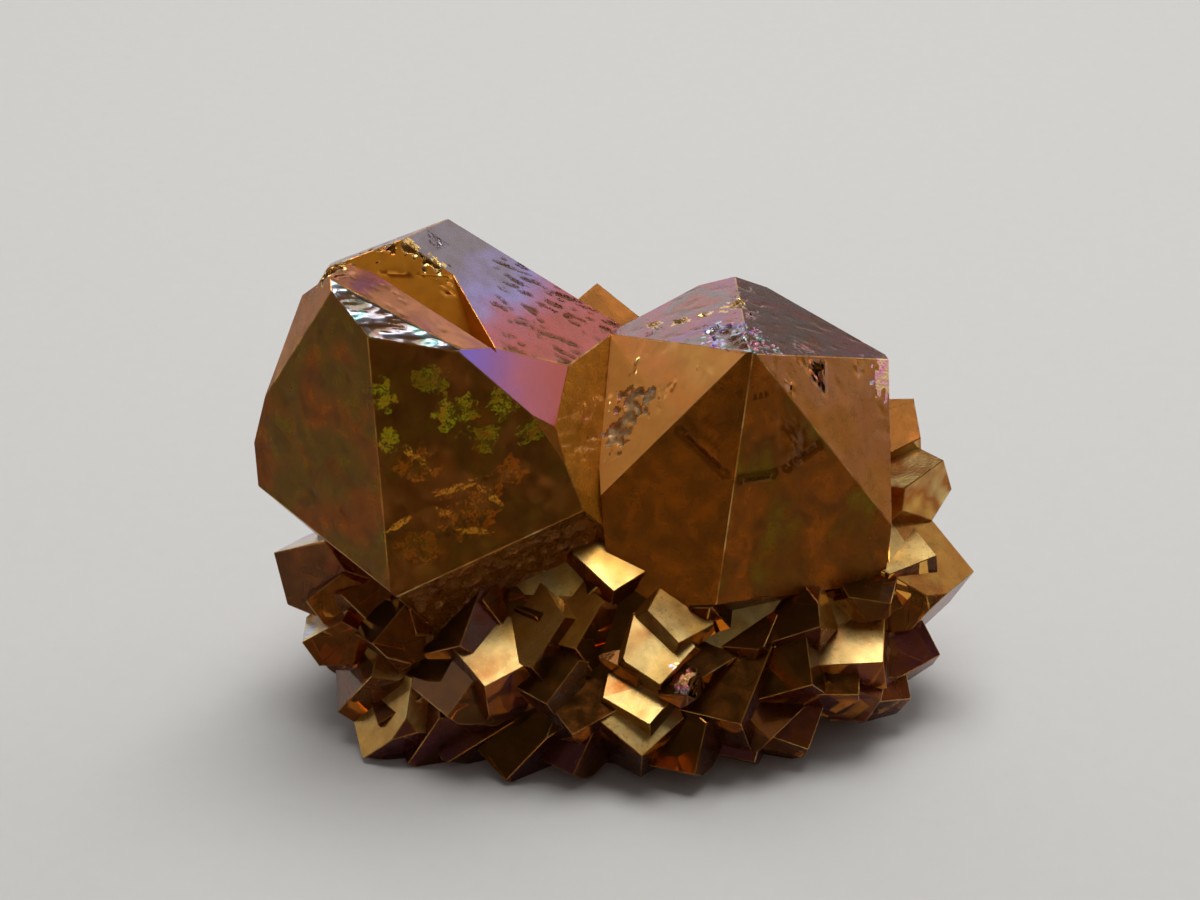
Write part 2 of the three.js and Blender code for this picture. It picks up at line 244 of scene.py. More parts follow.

# Finishes

# Each finish gives its film's colours in order of thickness, how far the thickness drifts from
# facet to facet and flows within one, how much of the facet the film covers, how patchy it is,
# the roughness of the film and of the quartz, the depth of its grain in millimetres or zero,
# how cloudy the quartz under it is and how light the cloud is. That lightness is painted light and shade:
# high on the sides lit through from behind and low on the dark crust. A finish may have its own stone
# colour, and a film that thickens along a slope from an origin, both in millimetres.
FINISHES = {
    "smoky_front": dict(film=("rust", "moss", "copper", "rust"), drift=0.2, flow=0.9, cover=0.27,
                        patch=0.32, polish=0.3, haze=0.2, grain=0.0, cloud=0.08, light=0.8),
    "olive_front": dict(film=("copper", "moss", "copper", "gold"), drift=0.2, flow=0.7, cover=0.2,
                        patch=0.14, polish=0.28, haze=0.2, grain=0.0, cloud=0.1, light=0.9),
    "umber_front": dict(film=("rust", "moss", "umber", "rust", "rust"), drift=0.2, flow=0.8, cover=0.55,
                        patch=0.36, polish=0.36, haze=0.2, grain=0.0, cloud=0.1, light=0.9),
    "rust_front": dict(film=("umber", "rust", "umber", "rust"), drift=0.2, flow=0.7, cover=0.58,
                       patch=0.36, polish=0.36, haze=0.2, grain=0.0, cloud=0.1, light=0.9),
    "moss_front": dict(film=("umber", "moss", "rust", "umber"), drift=0.2, flow=0.8, cover=0.52,
                       patch=0.36, polish=0.36, haze=0.2, grain=0.0, cloud=0.1, light=0.9),
    # The sides and the notch wall take a light cloud: painted light shining through them from behind.
    "rose_side": dict(film=("gold", "copper", "dusk", "copper"), drift=0.2, flow=0.5, cover=0.32,
                      patch=0.2, polish=0.3, haze=0.08, grain=0.0, cloud=0.3, light=1.9),
    "tan_side": dict(film=("gold", "copper", "gold", "rose"), drift=0.3, flow=0.6, cover=0.2,
                     patch=0.15, polish=0.28, haze=0.08, grain=0.0, cloud=0.3, light=1.8),
    # The pale side's pale stone colour is painted light shining through it from behind.
    "pale_side": dict(film=("pale_gold", "pale_gold", "gold", "copper", "copper"), drift=0.0, flow=0.35,
                      cover=0.46, patch=0.2, polish=0.32, haze=0.1, grain=0.0, cloud=0.55, light=1.5,
                      stone=(0.9, 0.42, 0.1), tilt=(0.12, 0.0, 0.0), origin=(2.8, 0.0, 0.0)),
    "amber_window": dict(film=("gold", "copper", "gold"), drift=0.2, flow=0.6, cover=0.14,
                         patch=0.15, polish=0.25, haze=0.08, grain=0.0, cloud=0.45, light=1.8),
    "violet_etched": dict(film=("slate", "slate", "lilac", "rose", "dusk", "dusk"), drift=0.0, flow=0.25,
                          cover=0.74, patch=0.25, polish=0.26, haze=0.12, grain=0.0, cloud=0.15, light=1.0,
                          tilt=(0.084, -0.047, -0.072), origin=(-6.6, -1.7, 22.7)),
    "lilac_cheek": dict(film=("blue", "violet", "rose", "dusk"), drift=0.0, flow=0.15, cover=0.78,
                        patch=0.1, polish=0.16, haze=0.05, grain=0.0, cloud=0.15, light=1.0,
                        tilt=(0.111, 0.07, -0.061), origin=(-5.7, -4.0, 21.3)),
    "salmon_cheek": dict(film=("dusk", "copper", "gold"), drift=0.0, flow=0.3, cover=0.5,
                         patch=0.1, polish=0.18, haze=0.05, grain=0.0, cloud=0.3, light=1.3),
    "rose_ledge": dict(film=("lilac", "rose", "salmon", "salmon", "rose"), drift=0.2, flow=0.6, cover=0.62,
                       patch=0.2, polish=0.2, haze=0.08, grain=0.0, cloud=0.15, light=1.2),
    "silver_chip": dict(film=("slate", "silver", "teal", "silver", "slate", "silver"), drift=0.0, flow=1.3,
                        cover=0.85, patch=0.15, polish=0.2, haze=0.05, grain=0.0, cloud=0.15, light=1.0),
    "apex_chip": dict(film=("silver", "blue", "pink", "silver", "teal", "pink"), drift=0.0, flow=1.6,
                      cover=0.85, patch=0.2, polish=0.14, haze=0.05, grain=0.02, cloud=0.15, light=0.8),
    # The chipped groove: real crumbled relief, with a pale stone and pale films that paint its sparkle
    # highlights.
    "bright_chip": dict(film=("pale_gold", "silver", "pale_gold", "pink", "silver"), drift=0.0, flow=1.5,
                        cover=0.75, patch=0.4, polish=0.14, haze=0.05, grain=0.03, cloud=0.4, light=1.0,
                        stone=(0.85, 0.55, 0.25)),
    "gold_ridge": dict(film=("gold", "pale_gold", "copper"), drift=0.0, flow=1.2, cover=0.75,
                       patch=0.3, polish=0.14, haze=0.05, grain=0.03, cloud=0.15, light=1.2),
    # Gold film on the right gold point, with pale gold and pink that paint its highlight.
    "gold_lump": dict(film=("gold", "pale_gold", "copper", "gold", "pink"), drift=0.0, flow=0.9, cover=0.62,
                      patch=0.25, polish=0.2, haze=0.08, grain=0.01, cloud=0.15, light=1.0),
    # The silver tips are painted highlights: a bright silver film on two small points on the left.
    "silver_tip": dict(film=("silver", "pale_gold", "silver", "pink"), drift=0.0, flow=1.2, cover=0.7,
                       patch=0.25, polish=0.2, haze=0.05, grain=0.02, cloud=0.15, light=1.0),
    "rose_glint": dict(film=("pink", "pale_gold", "pink", "silver", "pink"), drift=0.0, flow=1.2, cover=0.85,
                       patch=0.15, polish=0.14, haze=0.05, grain=0.01, cloud=0.15, light=1.2),
    "mauve_top": dict(film=("violet", "rose", "slate", "dusk", "rose"), drift=0.3, flow=0.8, cover=0.6,
                      patch=0.22, polish=0.26, haze=0.1, grain=0.0, cloud=0.15, light=1.0),
    "ragged_band": dict(film=("plum", "copper", "plum", "gold"), drift=0.2, flow=1.0, cover=0.4,
                        patch=0.35, polish=0.22, haze=0.1, grain=0.02, cloud=0.2, light=0.8),
    "gold_point": dict(film=("gold", "pale_gold", "copper", "gold", "pale_gold"), drift=0.9, flow=0.4,
                       cover=0.42, patch=0.16, polish=0.3, haze=0.06, grain=0.0, cloud=0.15, light=1.1),
    "amber_point": dict(film=("rust", "copper", "umber", "copper"), drift=0.9, flow=0.4,
                        cover=0.15, patch=0.25, polish=0.26, haze=0.03, grain=0.0, cloud=0.04, light=0.9),
    # The plum finish paints shade: a dark film and a dim cloud, for the low crust and the facets that face
    # down.
    "plum_point": dict(film=("plum", "umber", "plum", "rust"), drift=0.9, flow=0.5,
                       cover=0.55, patch=0.25, polish=0.32, haze=0.06, grain=0.0, cloud=0.08, light=0.4),
    "lilac_point": dict(film=("dusk", "slate", "rose", "dusk"), drift=0.3, flow=0.8,
                        cover=0.42, patch=0.25, polish=0.26, haze=0.08, grain=0.0, cloud=0.2, light=0.8),
    # Worn edges: the bevel is real wear, and its pale gold film is a painted highlight line.
    "worn_edge": dict(film=("gold", "copper", "pale_gold"), drift=0.4, flow=1.0, cover=0.42,
                      patch=0.4, polish=0.2, haze=0.1, grain=0.01, cloud=0.2, light=1.2),
    "cut_base": dict(film=("plum", "copper"), drift=0.0, flow=0.8, cover=0.5, patch=0.2,
                     polish=0.5, haze=0.4, grain=0.03, cloud=0.3, light=0.7),
}

# The left point's lower back facets look like its left front, but stay flat.
FINISHES["moss_back"] = FINISHES["moss_front"]

# The patterns of the films: features to the millimetre, detail, and how far they are warped.
BROAD = (0.35, 2.0, 0.6)
BLOTCH = (1.1, 3.0, 0.3)
FINE = (7.0, 2.0, 0.0)
VEIL_FLOW = (1.3, 4.0, 0.8)
VEIL_FINE = (8.0, 3.0, 0.0)

# The middle of a pattern's range and of a film's thickness.
MIDDLE = 0.5

# How far the broad pattern moves a film's thickness, how far the blotches and the fine pattern move its
# cover, and the share of the cover that is lost in a pit.
FLOW_GAIN = 2.2
BLOTCH_GAIN = 2.4
FINE_GAIN = 0.5
PIT_LOSS = 0.8

# A film's least roughness and what the fine pattern adds to it, as shares of its polish.
ROUGH_LEAST = 0.7
ROUGH_SPREAD = 0.6

# The shades of the cloudy quartz, its roughness and its shine.
STONE_SHADES = (0.5, 1.0, 1.3)
STONE_ROUGH = 0.45
STONE_SHINE = 0.15

# The same for a veil's film: its gain, its least roughness and the spread of it. The film is torn to lace
# where a mix of its two patterns is low: the first one's share, and the values at the rim of a hole.
VEIL_GAIN = 2.4
VEIL_ROUGH_LEAST = 0.6
VEIL_ROUGH_SPREAD = 0.8
LACE_SHARE = 0.6
LACE_RIM = (0.42, 0.58)

# Relief

# A vertex pressed in this far is the bottom of a pit.
PIT_FULL = 0.06 * MM

# The etched facet is smooth left of this place.
ETCHED_LEFT = -6.5 * MM

# The patterns that are stretched over a facet: its bearing and rise, the turn of the stretch in the
# facet's plane, all in degrees, and the stretch along, across and out of it.
STRETCHED = {
    "etched": (71, 53, 34, (1.1 * MM, 0.26 * MM, 1.0 * MM)),
    "chipped": (34, 56, -20, (0.45 * MM, 1.4 * MM, 1.0 * MM)),
}

# Each row of relief is its vertex group and its pattern's name, the size of the pattern, or one where it
# is stretched, the values where it starts and where it is full, its layers of detail, its depth as a share
# of the pit depth, and the value that stays level.
RELIEF = (
    ("etched", "dashes", 1.0, (0.6, 0.72), 2, 0.5, 0.0),
    ("chipped", "flakes", 1.0, (0.3, 0.7), 2, 0.5, 0.0),
    ("crushed", "crumbs", 0.55 * MM, (0.3, 0.7), 2, 1.5, 0.0),
    ("ragged", "rags", 0.7 * MM, (0.35, 0.75), 3, 2.0, 0.0),
    ("tops", "scales", 0.8 * MM, (0.6, 0.72), 2, 0.15, 0.0),
    ("fronts", "swells", 2.2 * MM, (0.2, 0.8), 2, 0.15, 0.5),
    ("fronts", "nicks", 0.9 * MM, (0.66, 0.8), 2, 0.2, 0.0),
)

# Stage

# The lights: the name, the place in metres and the length of the sides. Their powers are settings.
LIGHTS = (
    ("top", (0.02, 0.07, 0.36), 0.24),
    ("side", (0.34, 0.24, 0.2), 0.42),
    ("back", (-0.1, 0.42, 0.1), 0.42),
    ("left", (-0.36, 0.17, 0.1), 0.2),
)
LIGHT_AIM = Vector((0.0, 0.0, 0.012))
SKY_COLOUR = (1.0, 0.98, 0.96, 1.0)

# The floor's specks to the metre, their detail and warp, their shades and the floor's roughness.
FLOOR_SPECKS = (900.0, 4.0, 0.0)
FLOOR_SHADES = (0.96, 1.0)
FLOOR_ROUGH = 0.7

# The place in metres that the camera looks at, its sensor in millimetres and the nearest thing it sees.
CAMERA_AIM = Vector((-0.00097, -0.0005, 0.0142))
SENSOR_WIDTH = 36.0
NEAREST = 1.0 * MM

# Random draws are the same in every run.
FACET_SEED = 21


# Settings

def colour_setting(name, description, default):
    """A colour that a user can change, with an alpha value where its default has one."""
    return FloatVectorProperty(name=name, description=description, subtype="COLOR", size=len(default),
                               min=0.0, max=1.0, default=default)


class QuartzBodySettings(bpy.types.PropertyGroup):
    """The quartz itself and how worn it is."""

    amber: colour_setting("Amber", "Colour left in light that crosses the quartz", (0.93, 0.6, 0.0, 1.0))
    amber_density: FloatProperty(name="Amber density", default=190.0, min=0.0,
                                 description="How fast the quartz takes up light, per metre")
    quartz_ior: FloatProperty(name="Quartz IOR", description="Index of refraction of quartz",
                              default=1.544, min=1.0, max=3.0)
    clear_tint: colour_setting("Clear tint", "Tint of light that enters the quartz",
                               (1.0, 0.68, 0.24, 1.0))
    gloss_tint: colour_setting("Gloss tint", "Tint of light that the quartz reflects",
                               (1.0, 0.36, 0.05, 1.0))
    stone: colour_setting("Stone", "Colour of the cloudy quartz", (0.55, 0.2, 0.012))
    edge_wear: FloatProperty(name="Edge wear", description="Width of the worn line along an edge",
                             subtype="DISTANCE", unit="LENGTH", default=0.00004)
    pit_depth: FloatProperty(name="Pit depth", description="Depth of the etched pits",
                             subtype="DISTANCE", unit="LENGTH", default=0.00016)


class QuartzFilmSettings(bpy.types.PropertyGroup):
    """Colours of the metal film, from thin to thick."""

    copper: colour_setting("Copper", "Film colour", (0.52, 0.16, 0.03))
    gold: colour_setting("Gold", "Film colour", (0.85, 0.47, 0.1))
    pale_gold: colour_setting("Pale gold", "Film colour", (0.9, 0.64, 0.24))
    moss: colour_setting("Moss", "Film colour", (0.18, 0.105, 0.006))
    teal: colour_setting("Teal", "Film colour", (0.2, 0.5, 0.45))
    blue: colour_setting("Blue", "Film colour", (0.16, 0.15, 0.62))
    violet: colour_setting("Violet", "Film colour", (0.28, 0.13, 0.34))
    rose: colour_setting("Rose", "Film colour", (0.43, 0.13, 0.165))
    umber: colour_setting("Umber", "Film colour", (0.18, 0.052, 0.004))
    rust: colour_setting("Rust", "Film colour", (0.34, 0.085, 0.005))
    lilac: colour_setting("Lilac", "Film colour", (0.3, 0.25, 0.48))
    salmon: colour_setting("Salmon", "Film colour", (0.8, 0.32, 0.16))
    dusk: colour_setting("Dusk", "Film colour", (0.42, 0.105, 0.09))
    pink: colour_setting("Pink", "Film colour", (0.9, 0.3, 0.5))
    slate: colour_setting("Slate", "Film colour", (0.235, 0.2, 0.225))
    plum: colour_setting("Plum", "Film colour", (0.16, 0.04, 0.06))
    silver: colour_setting("Silver", "Film colour", (0.55, 0.6, 0.7))


class QuartzVeilSettings(bpy.types.PropertyGroup):
    """Colours of the cracks inside the quartz."""

    moss: colour_setting("Moss", "Colour of a crack", (0.28, 0.34, 0.03))
    lime: colour_setting("Lime", "Colour of a crack", (0.5, 0.8, 0.06))
    amber: colour_setting("Amber", "Colour of a crack", (0.6, 0.24, 0.02))
    gold: colour_setting("Gold", "Colour of a crack", (1.0, 0.62, 0.16))
    ember: colour_setting("Ember", "Colour of a crack", (0.42, 0.08, 0.005))


class QuartzStageSettings(bpy.types.PropertyGroup):
    """Floor, lights and camera."""

    floor_colour: colour_setting("Floor", "Colour of the floor", (0.62, 0.61, 0.59))
    floor_size: FloatProperty(name="Floor size", description="Length of the floor's sides",
                              subtype="DISTANCE", unit="LENGTH", default=3.0)
    top_power: FloatProperty(name="Top light", description="Power of the light overhead",
                             subtype="POWER", unit="POWER", default=1.05)
    side_power: FloatProperty(name="Side light", description="Power of the light behind on the right",
                              subtype="POWER", unit="POWER", default=0.5)
    back_power: FloatProperty(name="Back light", description="Power of the low light behind",
                              subtype="POWER", unit="POWER", default=0.45)
    left_power: FloatProperty(name="Left light", description="Power of the low light on the left",
                              subtype="POWER", unit="POWER", default=0.12)
    sky: FloatProperty(name="Surroundings", description="Brightness of the surroundings",
                       default=0.16, min=0.0)
    camera_distance: FloatProperty(name="Camera distance", description="Distance from the camera to its aim",
                                   subtype="DISTANCE", unit="LENGTH", default=0.17)
    camera_elevation: FloatProperty(name="Camera elevation", description="Angle of the camera above level",
                                    subtype="ANGLE", unit="ROTATION", default=math.radians(28.0))
    camera_lens: FloatProperty(name="Camera lens", description="Focal length", subtype="DISTANCE_CAMERA",
                               unit="CAMERA", default=98.0)


# Shader maths

class Wire:
    """A shader socket that can be used in sums and products."""

    def __init__(self, shader, socket):
        self.shader = shader
        self.socket = socket

    def maths(self, operation, first, second):
        return self.shader.node("ShaderNodeMath", {"operation": operation}, {0: first, 1: second})

    def __add__(self, other):
        return self.maths("ADD", self, other)

    def __radd__(self, other):
        return self.maths("ADD", other, self)

    def __sub__(self, other):
        return self.maths("SUBTRACT", self, other)

    def __rsub__(self, other):
        return self.maths("SUBTRACT", other, self)

    def __mul__(self, other):
        return self.maths("MULTIPLY", self, other)

    def __rmul__(self, other):
        return self.maths("MULTIPLY", other, self)


class Shader:
    """A material and its nodes."""

    def __init__(self, name):
        self.material = bpy.data.materials.new(name)
        self.material.use_nodes = True
        self.tree = self.material.node_tree
        self.tree.nodes.clear()

    def node(self, kind, settings=None, sockets=None, output=0):
        """Adds a node with its settings and socket values, and returns one of its outputs."""
        made = self.tree.nodes.new(kind)
        for key, value in (settings or {}).items():
            if key == "stops":
                self.fill_ramp(made.color_ramp, value)
            else:
                setattr(made, key, value)
        inputs = {socket.identifier: socket for socket in made.inputs}
        for key, value in (sockets or {}).items():
            socket = inputs[key] if key in inputs else made.inputs[key]
            if isinstance(value, Wire):
                self.tree.links.new(value.socket, socket)
            else:
                socket.default_value = value
        if not made.outputs:
            return None
        outputs = {socket.identifier: socket for socket in made.outputs}
        return Wire(self, outputs[output] if output in outputs else made.outputs[output])

    def fill_ramp(self, ramp, stops):
        """Spreads colours evenly along a ramp."""
        while len(ramp.elements) < len(stops):
            ramp.elements.new(1.0)
        for index, colour in enumerate(stops):
            ramp.elements[index].position = index / (len(stops) - 1)
            ramp.elements[index].color = (*colour, 1.0)

    def noise(self, place, scale, detail, distortion):
        """A noise value from 0 to 1, with features of about one over the scale."""
        sockets = {"Vector": place, "Scale": scale, "Detail": detail, "Distortion": distortion}
        return self.node("ShaderNodeTexNoise", {}, sockets, "Fac")

    def step(self, value, low, high):
        """A smooth step from 0 at the low value to 1 at the high one."""
        sockets = {"Value": value, "From Min": low, "From Max": high}
        return self.node("ShaderNodeMapRange", {"interpolation_type": "SMOOTHSTEP"}, sockets)


def coated_quartz(name, look, body, film):
    """A finish: amber quartz under a patchy metal film whose colour follows its thickness."""
    shader = Shader(name)
    spot = shader.node("ShaderNodeTexCoord", output="Object")
    place = shader.node("ShaderNodeMapping", {}, {"Vector": spot, "Scale": (PER_METRE,) * 3})
    facet = shader.node("ShaderNodeAttribute", {"attribute_name": "facet"}, output="Fac")
    broad = shader.noise(place, *BROAD)
    blotch = shader.noise(place, *BLOTCH)
    fine = shader.noise(place, *FINE)
    pit = shader.node("ShaderNodeAttribute", {"attribute_name": "pit"}, output="Fac")
    thickness = MIDDLE + look["drift"] * (facet - MIDDLE) + FLOW_GAIN * look["flow"] * (broad - MIDDLE)
    if "tilt" in look:
        tilt = Vector(look["tilt"])
        start = tilt.dot(Vector(look["origin"]))
        run = shader.node("ShaderNodeVectorMath", {"operation": "DOT_PRODUCT"}, {0: place, 1: tilt}, "Value")
        thickness = thickness + (run - start)
    stops = [tuple(getattr(film, colour)) for colour in look["film"]]
    tint = shader.node("ShaderNodeValToRGB", {"stops": stops}, {"Fac": thickness}, "Color")
    patches = BLOTCH_GAIN * look["patch"] * (blotch - MIDDLE)
    cover = look["cover"] + patches + FINE_GAIN * look["patch"] * (fine - MIDDLE)
    cover = cover * (1.0 - PIT_LOSS * pit)
    relief = {}
    if look["grain"]:
        sockets = {"Height": fine, "Strength": 1.0, "Distance": look["grain"] * MM}
        relief["Normal"] = shader.node("ShaderNodeBump", {}, sockets, "Normal")
    roughness = look["polish"] * (ROUGH_LEAST + ROUGH_SPREAD * fine)
    skin = shader.node("ShaderNodeBsdfPrincipled", {}, {
        "Base Color": tint, "Metallic": 1.0, "Roughness": roughness, **relief})
    # The cloud's colour is the stone colour scaled by the finish's lightness, which paints light on the lit
    # sides and shade on the plum crust.
    base = look.get("stone", tuple(body.stone))
    shades = [tuple(shade * look["light"] * part for part in base) for shade in STONE_SHADES]
    stone = shader.node("ShaderNodeValToRGB", {"stops": shades}, {"Fac": blotch}, "Color")
    cloud = shader.node("ShaderNodeBsdfPrincipled", {}, {
        "Base Color": stone, "Roughness": STONE_ROUGH, "IOR": body.quartz_ior,
        "Specular IOR Level": STONE_SHINE, **relief})
    quartz = shader.node("ShaderNodeBsdfPrincipled", {}, {
        "Base Color": tuple(body.clear_tint), "Roughness": look["haze"], "IOR": body.quartz_ior,
        "Transmission Weight": 1.0, "Specular Tint": tuple(body.gloss_tint), **relief})
    quartz = shader.node("ShaderNodeMixShader", {}, {0: look["cloud"], 1: quartz, 2: cloud})
    coated = shader.node("ShaderNodeMixShader", {}, {0: shader.step(cover, 0.0, 1.0), 1: quartz, 2: skin})
    depth = shader.node("ShaderNodeVolumeAbsorption", {}, {
        "Color": tuple(body.amber), "Density": body.amber_density})
    shader.node("ShaderNodeOutputMaterial", {}, {"Surface": coated, "Volume": depth})
    return shader.material


# Selecting and editing

def facing(bearing, rise):
    """The unit vector with this bearing from the front and this rise above level."""
    turn = math.radians(bearing)
    lift = math.radians(rise)
    return Vector((math.sin(turn) * math.cos(lift), -math.cos(turn) * math.cos(lift), math.sin(lift)))


def pick(piece):
    """Selects one object alone and makes it active."""
    bpy.ops.object.select_all(action="DESELECT")
    piece.select_set(True)
    bpy.context.view_layer.objects.active = piece


def edit(piece):
    """Opens a piece in edit mode with nothing selected."""
    pick(piece)
    bpy.ops.object.mode_set(mode="EDIT")
    bpy.ops.mesh.select_all(action="DESELECT")


def leave():
    """Leaves edit mode."""
    bpy.ops.object.mode_set(mode="OBJECT")


def node_copy(node, name):
    """A merged copy of a node's mesh, with each flat facet joined into one face."""
    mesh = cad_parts[node].data.copy()
    mesh.name = name
    mesh.materials.clear()
    piece = bpy.data.objects.new(name, mesh)
    bpy.context.scene.collection.objects.link(piece)
    edit(piece)
    bpy.ops.mesh.select_all(action="SELECT")
    bpy.ops.mesh.remove_doubles(threshold=MERGE)
    bpy.ops.mesh.dissolve_limited(angle_limit=FLAT)
    bpy.ops.mesh.dissolve_degenerate(threshold=SLIVER)
    leave()
    return piece


def rise_of(normal):
    """The rise of a normal above level, in degrees."""
    return math.degrees(math.asin(max(-1.0, min(1.0, normal.z))))


def large_finish(centre, normal):
    """The finish of a large point's facet with this centre and normal, or nothing."""
    for middle, facets in LARGE_POINTS:
        for bearing, rise, reach, finish in facets:
            out = facing(bearing, rise)
            same_plane = abs(out.dot(centre - middle) - reach * MM) < SAME_PLANE
            if same_plane and normal.dot(out) > SAME_WAY:
                return finish
    return None


def small_finish(centre, normal, value):
    """The finish of a small point's facet with this centre, normal and random value."""
    rise = rise_of(normal)
    if rise < BASE_RISE:
        return "cut_base"
    for finish, middle, radius in KNOWN_FACETS:
        if (centre - Vector(middle) * MM).length < radius * MM:
            return finish
    # Low crust is painted dark, as shade.
    dark_below = DARK_BELOW_RIGHT if centre.x > DARK_RIGHT else DARK_BELOW_LEFT
    if centre.z < dark_below:
        return "plum_point"
    if rise > SMALL_UP and value < GOLD_SHARE:
        return "gold_point"
    # Facets that face down take the dark plum finish, painted shade.
    return "amber_point" if rise > SMALL_LEVEL else "plum_point"


def finish_facets(piece, materials):
    """Gives every facet its finish and a random value of its own."""
    names = list(materials)
    for name in names:
        piece.data.materials.append(materials[name])
    chance = random.Random(FACET_SEED)
    values = piece.data.attributes.new("facet", "FLOAT", "FACE")
    for facet in piece.data.polygons:
        value = chance.random()
        finish = large_finish(facet.center, facet.normal) or small_finish(facet.center, facet.normal, value)
        facet.material_index = names.index(finish)
        values.data[facet.index].value = value


def wear_edges(piece, width):
    """Rounds off the long outer edges, with a finish of their own: a pale gold film that paints a highlight
    line along each edge.
    """
    edit(piece)
    bpy.ops.mesh.select_mode(type="EDGE")
    mesh = bmesh.from_edit_mesh(piece.data)
    for edge in mesh.edges:
        long_enough = edge.calc_length() > WORN_LENGTH
        edge.select_set(long_enough and edge.is_convex and edge.calc_face_angle(0.0) > WORN_ANGLE)
    bpy.ops.mesh.bevel(offset=width, offset_type="OFFSET", segments=1, affect="EDGES", clamp_overlap=False,
                       material=piece.data.materials.find("worn_edge"))
    leave()


def crease_facets(piece):
    """Keeps every edge between two facets sharp and the facets themselves smooth."""
    edit(piece)
    bpy.ops.mesh.select_mode(type="EDGE")
    mesh = bmesh.from_edit_mesh(piece.data)
    for edge in mesh.edges:
        edge.select_set(len(edge.link_faces) == 2 and edge.calc_face_angle(0.0) > FLAT)
    bpy.ops.mesh.mark_sharp()
    leave()
    bpy.ops.object.shade_smooth()


def cut_fine(piece, wanted, step):
    """Cuts the faces that a test wants into triangles with no edge longer than a step."""
    edit(piece)
    for _ in range(FINE_ROUNDS):
        bpy.ops.mesh.select_mode(type="FACE")
        mesh = bmesh.from_edit_mesh(piece.data)
        for face in filter(wanted, mesh.faces):
            face.select_set(True)
        bpy.ops.mesh.quads_convert_to_tris(quad_method="SHORTEST_DIAGONAL", ngon_method="BEAUTY")
        mesh = bmesh.from_edit_mesh(piece.data)
        chosen = [edge for edge in mesh.edges if edge.select and edge.calc_length() > step]
        bpy.ops.mesh.select_mode(type="EDGE")
        bpy.ops.mesh.select_all(action="DESELECT")
        if not chosen:
            break
        for edge in chosen:
            edge.select_set(True)
        bpy.ops.mesh.subdivide(number_cuts=1)
        bpy.ops.mesh.select_all(action="DESELECT")
    leave()


def spot_at(centre, normal):
    """The finish of the spot that holds a place, or nothing."""
    ragged = noise.noise(centre * PER_METRE * SPOT_RAGS)
    for finish, middle, radius, rise in SPOTS:
        reach = (centre - Vector(middle) * MM).length / MM
        if reach < radius * (1.0 + SPOT_RAGGED * ragged) and rise_of(normal) > rise:
            return finish
    return None


def near_spot(face):
    """Whether a face may lie in a spot."""
    corners = [corner.co for corner in face.verts] + [face.calc_center_median()]
    return any((corner - middle).length < reach for middle, reach in SPOT_BALLS for corner in corners)


def finish_spots(piece):
    """Gives the faces in the spots their finish."""
    for facet in piece.data.polygons:
        finish = spot_at(facet.center, facet.normal)
        if finish:
            facet.material_index = piece.data.materials.find(finish)


def group_inside(piece, name, finishes, left=-math.inf):
    """A vertex group of the vertices right of a place that lie well inside facets of some finishes."""
    slots = {piece.data.materials.find(finish) for finish in finishes}
    inside = set(range(len(piece.data.vertices)))
    for facet in piece.data.polygons:
        if facet.material_index not in slots:
            inside.difference_update(facet.vertices)
    group = piece.vertex_groups.new(name=name)
    group.add([index for index in inside if piece.data.vertices[index].co.x > left], 1.0, "REPLACE")


def pattern(name, size, low, high, layers):
    """A cloudy texture that is 0 below one value and 1 above another."""
    texture = bpy.data.textures.new(name, "CLOUDS")
    texture.noise_scale = size
    texture.noise_depth = layers
    texture.use_color_ramp = True
    first, last = texture.color_ramp.elements
    first.position = low
    first.color = (0.0, 0.0, 0.0, 1.0)
    last.position = high
    last.color = (1.0, 1.0, 1.0, 1.0)
    return texture


def press(piece, group, texture, depth, guide, level):
    """Presses a pattern into the facets of a vertex group, along a guide if there is one."""
    pick(piece)
    bpy.ops.object.modifier_add(type="DISPLACE")
    modifier = piece.modifiers[-1]
    modifier.texture = texture
    modifier.vertex_group = group
    modifier.strength = -depth
    modifier.mid_level = level
    if guide:
        modifier.texture_coords = "OBJECT"
        modifier.texture_coords_object = guide
    bpy.ops.object.modifier_apply(modifier=modifier.name)


def slope_guide(bearing, rise, turn, stretch):
    """An empty whose axes lie along and across a facet's slope, to stretch a pattern over it."""
    out = facing(bearing, rise)
    swing = math.radians(turn)
    across = Vector((-out.y, out.x, 0.0)).normalized()
    down = across.cross(out)
    along = (math.cos(swing) * down + math.sin(swing) * across).normalized()
    axes = Matrix((along, out.cross(along), out)).transposed()
    bpy.ops.object.select_all(action="DESELECT")
    bpy.ops.object.empty_add(type="PLAIN_AXES", rotation=axes.to_euler())
    guide = bpy.context.object
    guide.scale = stretch
    bpy.context.view_layer.update()
    return guide


def mark_pits(piece, before):
    """Keeps how far each vertex was pressed in, for the materials."""
    pits = piece.data.attributes.new("pit", "FLOAT", "POINT")
    for vertex in piece.data.vertices:
        pits.data[vertex.index].value = min(1.0, (vertex.co - before[vertex.index]).length / PIT_FULL)


# Pieces

